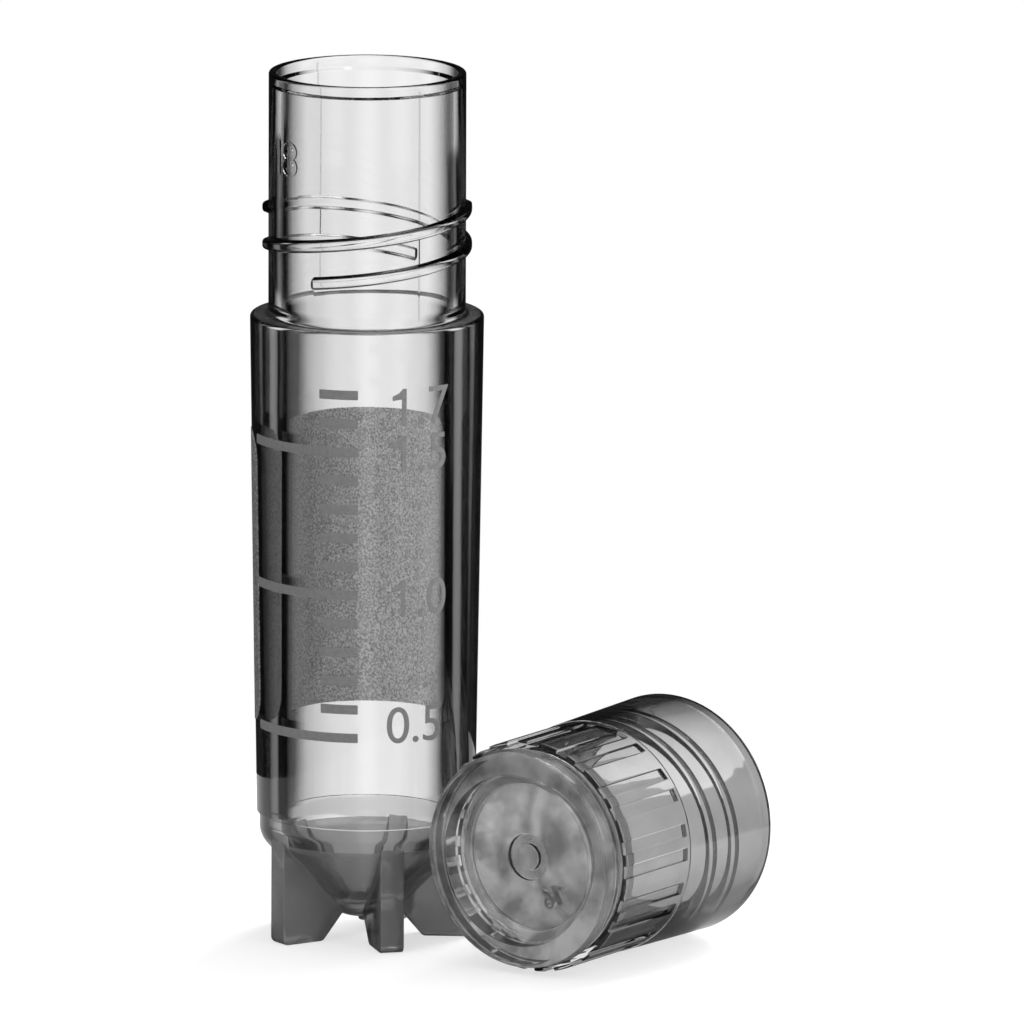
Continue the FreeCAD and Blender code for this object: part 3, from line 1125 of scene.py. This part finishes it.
@dataclass(frozen=True)
class Print:
    """The ink on the barrel: writing panel, graduation and numerals. Heights in mm, angles in degrees."""

    vial: Vial
    thickness: float = 0.04
    sunk: float = 0.01
    panel: Patch = Patch(start=21.0, sweep=177.0, bottom=11.8, top=27.55, corner=1.5)
    first_mark: float = 11.57
    mark_spacing: float = 1.554
    mark_height: float = 0.5
    mark_corner: float = 0.04
    mark_count: int = 13
    mark_end: float = 266.0
    mark_sweep: float = 19.6
    long_mark_sweep: float = 67.0
    long_mark_every: int = 5
    numeral_height: float = 1.97
    numeral_start: float = 281.0
    one_start: float = 283.1
    numerals: tuple[tuple[str, float], ...] = (("0.5", 12.5), ("1.0", 19.4), ("1.5", 27.25), ("1.7", 29.8))

    def skin(self) -> Skin:
        """The barrel's skin of ink."""
        return Skin(self.vial.barrel_radius, -self.sunk, self.thickness)

    def marks(self) -> Mesh:
        """Builds the graduation, whose every fifth mark is long.

        Returns:
            The closed marks.
        """
        marks = []
        for index in range(self.mark_count):
            sweep = self.mark_sweep if index % self.long_mark_every else self.long_mark_sweep
            bottom = self.first_mark + index * self.mark_spacing
            mark = Patch(self.mark_end - sweep, sweep, bottom, bottom + self.mark_height, self.mark_corner)
            marks.append(mark.build(self.skin()))
        return joined(marks)

    def numbers(self) -> Mesh:
        """Builds the numerals beside the graduation.

        Returns:
            The closed numerals.
        """
        numbers = []
        for words, height in self.numerals:
            start = self.one_start if words.startswith("1") else self.numeral_start
            numbers.append(self.skin().number(words, self.numeral_height, start, height))
        return joined(numbers)

    def build(self, finishes: Finishes) -> None:
        """Builds the panel and the marks in place of their solids, and the numerals.

        Args:
            finishes: The finishes to dress them in.
        """
        panel = self.panel.build(self.skin())
        panel_piece = finished_piece(panel, "printed_panel", "vial", [finishes["panel_ink"]])
        marks_piece = finished_piece(self.marks(), "printed_graduation", "vial", [finishes["mark_ink"]])
        numbers_piece = finished_piece(self.numbers(), "printed_numerals", "vial", [finishes["mark_ink"]])
        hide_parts("writing_panel")
        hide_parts("graduation_marks")


# Studio


def towards(azimuth: float, elevation: float) -> Vector:
    """The direction from the object at an azimuth, 0 being its front, and an elevation, in degrees."""
    turn, rise = math.radians(azimuth), math.radians(elevation)
    return Vector((math.sin(turn) * math.cos(rise), -math.cos(turn) * math.cos(rise), math.sin(rise)))


@dataclass(frozen=True)
class SoftLight:
    """A square softbox: where it stands, seen from the object, its side, and its power in watts.

    One that is not mirrored is not seen in or through clear plastic.
    """

    name: str
    azimuth: float
    elevation: float
    side: float
    power: float
    is_mirrored: bool = True
    distance: float = 0.6

    def build(self, target: Vector) -> None:
        """Adds the light, aimed at a point.

        Args:
            target: What it faces, in metres.
        """
        lamp = bpy.data.lights.new(self.name, "AREA")
        lamp.shape = "SQUARE"
        lamp.size = self.side
        lamp.energy = self.power
        item = bpy.data.objects.new(self.name, lamp)
        out = towards(self.azimuth, self.elevation)
        item.location = target + out * self.distance
        item.rotation_euler = out.to_track_quat("Z", "Y").to_euler()
        item.visible_glossy = item.visible_transmission = self.is_mirrored
        bpy.context.scene.collection.objects.link(item)


@dataclass(frozen=True)
class Studio:
    """A white floor, a white surround, soft lights and the camera. Distances in metres."""

    look_at: tuple[float, float, float] = (0.00777, 0.0, 0.0230)
    camera_distance: float = 1.3
    camera_elevation: float = 10.94
    camera_roll: float = 0.187
    lens: float = 855.0
    sensor: float = 36.0
    clip: tuple[float, float] = (0.01, 20.0)
    floor_radius: float = 0.045
    floor_gloss: float = 0.08
    floor_roughness: float = 0.06
    floor_glow: float = 0.7
    floor_glow_through_plastic: tuple[float, float] = (0.42, 0.64)
    floor_color: Stops = ((0.0, 0.4), (1.0, 0.05))
    surround: tuple[float, float] = (0.1, 1.0)
    gloss_surround: float = 0.015
    window: Stops = ((0.6, 0.003), (0.694, 0.2), (0.845, 0.58), (0.94, 0.82), (1.0, 0.96))
    window_count: float = 4.0
    window_turn: float = 2.0
    between: Stops = ((0.0, 0.26), (0.05, 0.2), (0.12, 0.003))
    between_steep: Stops = ((0.0, 0.92), (0.15, 0.7), (0.35, 0.003))
    steep: tuple[float, float] = (14.2, 14.9)
    lights: tuple[SoftLight, ...] = (
        SoftLight("left_softbox", azimuth=-55.0, elevation=40.0, side=0.5, power=1.2, is_mirrored=False),
        SoftLight("right_softbox", azimuth=60.0, elevation=35.0, side=0.5, power=1.2),
        SoftLight("back_softbox", azimuth=145.0, elevation=30.0, side=0.3, power=5.0, is_mirrored=False),
        SoftLight("top_softbox", azimuth=150.0, elevation=75.0, side=0.4, power=1.5),
    )

    def build_camera(self) -> None:
        """Adds the camera and makes it the scene's."""
        camera = bpy.data.cameras.new("camera")
        camera.lens = self.lens
        camera.sensor_width = self.sensor
        camera.clip_start, camera.clip_end = self.clip
        item = bpy.data.objects.new("camera", camera)
        out = towards(0.0, self.camera_elevation)
        roll = Matrix.Rotation(math.radians(self.camera_roll), 3, "Z")
        item.location = Vector(self.look_at) + out * self.camera_distance
        item.rotation_euler = (out.to_track_quat("Z", "Y").to_matrix() @ roll).to_euler()
        bpy.context.scene.collection.objects.link(item)
        bpy.context.scene.camera = item

    def build_floor(self) -> None:
        """Adds the white floor, which keeps the object's shadow and a faint mirror image."""
        mesh = bmesh.new()
        bmesh.ops.create_circle(mesh, cap_ends=True, segments=96, radius=self.floor_radius)
        bmesh.ops.translate(mesh, verts=mesh.verts, vec=self.look_at[:2] + (0.0,))
        floor = loose_object(mesh, "studio_floor")
        material, graph = new_material("white_floor")
        rays = graph.add("LightPath").outputs
        through = rays["Is Transmission Ray"]
        field = self.bright_field(graph, graph.add("TexCoord").outputs["Object"])
        dimmed = graph.ranged(field, (0.0, 1.0), self.floor_glow_through_plastic)
        glow = graph.add("Emission", {
            "Color": graph.mixed(through, grey(self.floor_glow), dimmed),
            "Strength": graph.worked_out("MAXIMUM", rays["Is Camera Ray"], through),
        })
        lit = graph.add("BsdfDiffuse", {"Color": graph.ramp(through, self.floor_color)})
        white = graph.add("AddShader", {0: lit, 1: glow})
        sheen = graph.add("BsdfGlossy", {"Roughness": self.floor_roughness})
        graph.finish(white, sheen, share=self.floor_gloss)
        floor.data.materials.append(material)

    def bright_field(self, graph: Graph, direction: Socket) -> Socket:
        """Adds what is seen through clear plastic: a dark surround with a bright window on each side.

        The windows between the sides are dim, but bright for what looks down steeply.

        Args:
            graph: The graph to add it to.
            direction: The direction looked in, or the place on the floor that is looked at.

        Returns:
            The surround's grey.
        """
        split = graph.add("SeparateXYZ", {0: direction}).outputs
        azimuth = graph.worked_out("ARCTAN2", split["X"], split["Y"])
        shift = -self.window_count * math.radians(self.window_turn)
        phase = graph.worked_out("MULTIPLY_ADD", azimuth, self.window_count, shift)
        height = graph.ranged(graph.worked_out("COSINE", phase), (-1.0, 1.0))
        stops = ((*between, *self.window) for between in (self.between, self.between_steep))
        shades = [graph.ramp(height, shade) for shade in stops]
        steep = graph.ranged(split["Z"], [-math.sin(math.radians(angle)) for angle in self.steep])
        return graph.mixed(steep, *shades)

    def build_world(self) -> None:
        """Makes the surround: white to the camera, a bright field through plastic, and soft otherwise."""
        world = bpy.data.worlds.new("surround")
        world.use_nodes = True
        bpy.context.scene.world = world
        graph = Graph(world.node_tree)
        rays = graph.add("LightPath").outputs
        direction = graph.add("TexCoord").outputs["Generated"]
        across = graph.add("SeparateXYZ", {0: direction}).outputs["X"]
        soft = graph.ranged(across, (-1.0, 1.0), self.surround)
        mirrored = graph.mixed(rays["Is Glossy Ray"], soft, grey(self.gloss_surround))
        is_through = graph.worked_out(
            "SUBTRACT", rays["Is Transmission Ray"], rays["Is Diffuse Ray"], use_clamp=True
        )
        through = graph.mixed(is_through, mirrored, self.bright_field(graph, direction))
        shown = graph.mixed(rays["Is Camera Ray"], through, grey(1.0))
        graph.add("OutputWorld", {"Surface": graph.add("Background", {"Color": shown})})

    def build(self) -> None:
        """Builds the whole studio."""
        self.build_camera()
        self.build_floor()
        self.build_world()
        for light in self.lights:
            light.build(Vector(self.look_at))
        bpy.context.scene.view_settings.view_transform = "Standard"


def main() -> None:
    """Builds the vial, its cap, its print and the studio, and logs each piece's face count."""
    logging.basicConfig(level=logging.INFO, format="%(message)s")
    finishes = all_finishes()
    vial = Vial()
    vial.build(finishes)
    ScrewCap().build(finishes)
    Washer().build(finishes)
    Print(vial).build(finishes)
    Studio().build()


if __name__ == "__main__":
    main()
